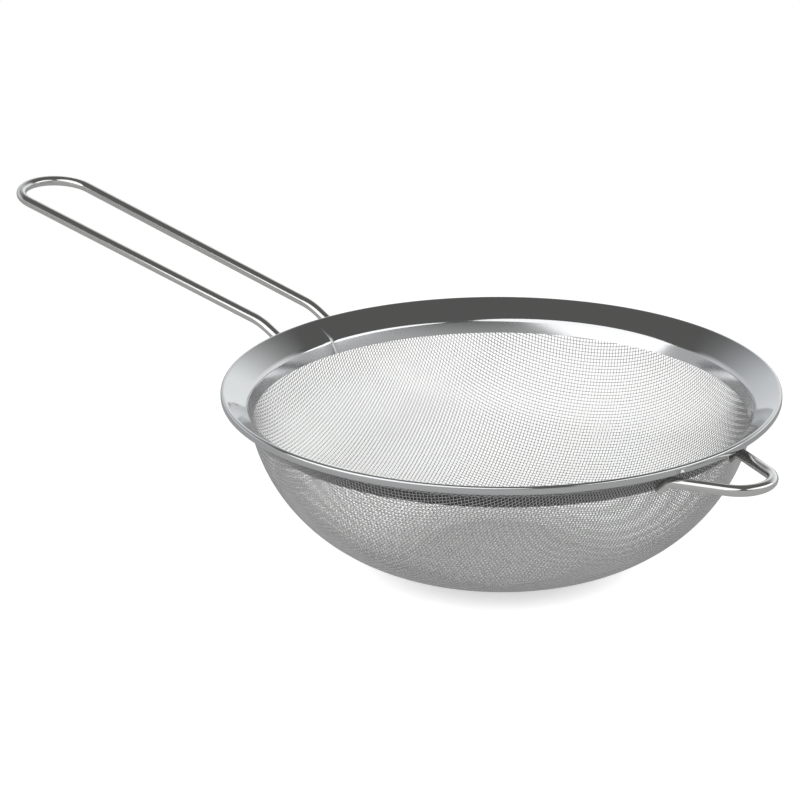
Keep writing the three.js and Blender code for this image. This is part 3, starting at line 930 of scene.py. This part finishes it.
class SIEVE_OT_hoop(bpy.types.Operator):
    """Model the sheet hoop with its lip, flange, skirt and seam"""

    bl_idname = "sieve.hoop"
    bl_label = "Hoop"

    def execute(self, context):
        sieve = context.scene.sieve
        section = Section(sieve)
        grain = (9000.0, 22.0, 22.0)
        material = steel(
            "sheet_steel", sieve.hoop.steel, grain, least=0.05, most=0.1, bump=0.008, around=True,
            matt_below=section.bend.y,
        )
        # rougher finish for the strip's back, whose dark colour is painted shade for the recess behind the
        # cloth and under the flange
        back = steel("sheet_back_painted_shade", sieve.hoop.back, grain, least=0.5, most=0.6, bump=0.0, around=True)
        obj = make_hoop(sieve)
        dress(obj, material, "sheet_steel", "rim_hoop")
        paint_back_shade(obj, back, section)
        return {"FINISHED"}


class SIEVE_OT_cloth(bpy.types.Operator):
    """Weave the bowl's wire cloth"""

    bl_idname = "sieve.cloth"
    bl_label = "Cloth"

    def execute(self, context):
        sieve = context.scene.sieve
        grain = (900.0, 900.0, 900.0)
        material = steel("cloth_steel", sieve.cloth.steel, grain, least=0.08, most=0.16, bump=0.0)
        for piece in make_cloth(sieve):
            dress(piece, material, "cloth_steel", "mesh_bowl")
        return {"FINISHED"}


class SIEVE_OT_handle(bpy.types.Operator):
    """Bend the long wire handle"""

    bl_idname = "sieve.handle"
    bl_label = "Handle"

    def execute(self, context):
        sieve = context.scene.sieve
        grain = (60.0, 2500.0, 2500.0)
        material = steel("handle_steel", sieve.wire.steel, grain, least=0.07, most=0.16, bump=0.03)
        dress(make_handle(sieve), material, "wire_steel", "handle")
        return {"FINISHED"}


class SIEVE_OT_rest_loop(bpy.types.Operator):
    """Bend the wire rest loop"""

    bl_idname = "sieve.rest_loop"
    bl_label = "Rest loop"

    def execute(self, context):
        sieve = context.scene.sieve
        grain = (200.0, 2500.0, 2500.0)
        material = steel("loop_steel", sieve.wire.steel, grain, least=0.07, most=0.16, bump=0.03)
        weld_grain = (900.0, 900.0, 900.0)
        weld = steel("weld_steel", sieve.wire.weld, weld_grain, least=0.4, most=0.5, bump=0.02)
        obj = make_loop(sieve)
        dress(obj, material, "wire_steel", "rest_loop")
        foot = min(point.co.x for point in obj.data.vertices) + sieve.wire.pad_length * WELD_SHARE
        add_finish(obj, weld, lambda face: face.center.x < foot)
        return {"FINISHED"}


class SIEVE_OT_stage(bpy.types.Operator):
    """Set the camera, the floor and the studio light"""

    bl_idname = "sieve.stage"
    bl_label = "Stage"

    def execute(self, context):
        make_stage(context.scene.sieve)
        return {"FINISHED"}


class SIEVE_PT_panel(bpy.types.Panel):
    """Lists the steps that make the sieve"""

    bl_idname = "SIEVE_PT_panel"
    bl_label = "Kitchen Sieve"
    bl_space_type = "VIEW_3D"
    bl_region_type = "UI"
    bl_category = "Sieve"

    def draw(self, context):
        for operator in OPERATORS:
            self.layout.operator(operator.bl_idname)


SETTINGS = (SieveHoop, SieveCloth, SieveWire, SieveStage, SieveSettings)
OPERATORS = (SIEVE_OT_stage, SIEVE_OT_hoop, SIEVE_OT_cloth, SIEVE_OT_handle, SIEVE_OT_rest_loop)
CLASSES = (*SETTINGS, *OPERATORS, SIEVE_PT_panel)


def register():
    for cls in CLASSES:
        bpy.utils.register_class(cls)
    bpy.types.Scene.sieve = bpy.props.PointerProperty(
        name="Sieve", description="Sieve settings", type=SieveSettings,
    )


def unregister():
    del bpy.types.Scene.sieve
    for cls in reversed(CLASSES):
        bpy.utils.unregister_class(cls)


def main():
    register()
    bpy.ops.sieve.stage()
    bpy.ops.sieve.hoop()
    bpy.ops.sieve.cloth()
    bpy.ops.sieve.handle()
    bpy.ops.sieve.rest_loop()


if __name__ == "__main__":
    main()
